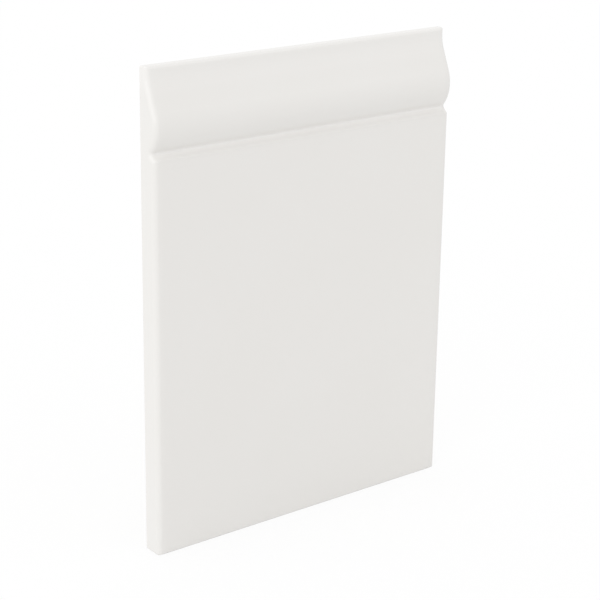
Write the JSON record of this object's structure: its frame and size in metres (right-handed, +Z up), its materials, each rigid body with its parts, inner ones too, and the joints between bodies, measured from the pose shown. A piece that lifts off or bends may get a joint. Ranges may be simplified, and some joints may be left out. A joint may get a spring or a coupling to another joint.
{
  "type": "wall base trim",
  "caption": "Glazed ceramic base trim tile: a flat upright plinth with an ogee and bead moulding along its top, fixed flat against the foot of a wall.",
  "frame": {"origin": "on the wall plane at floor level, at the middle of the piece's length", "axes": "+Z up the wall, +X along the skirting run, +Y into the wall, so the face that shows looks along -Y"},
  "size_m": [0.15, 0.0104, 0.2],
  "materials": {
    "white_glaze": "gloss"
  },
  "bodies": {
    "root": {"base_trim": "white_glaze"}
  },
  "joints": []
}
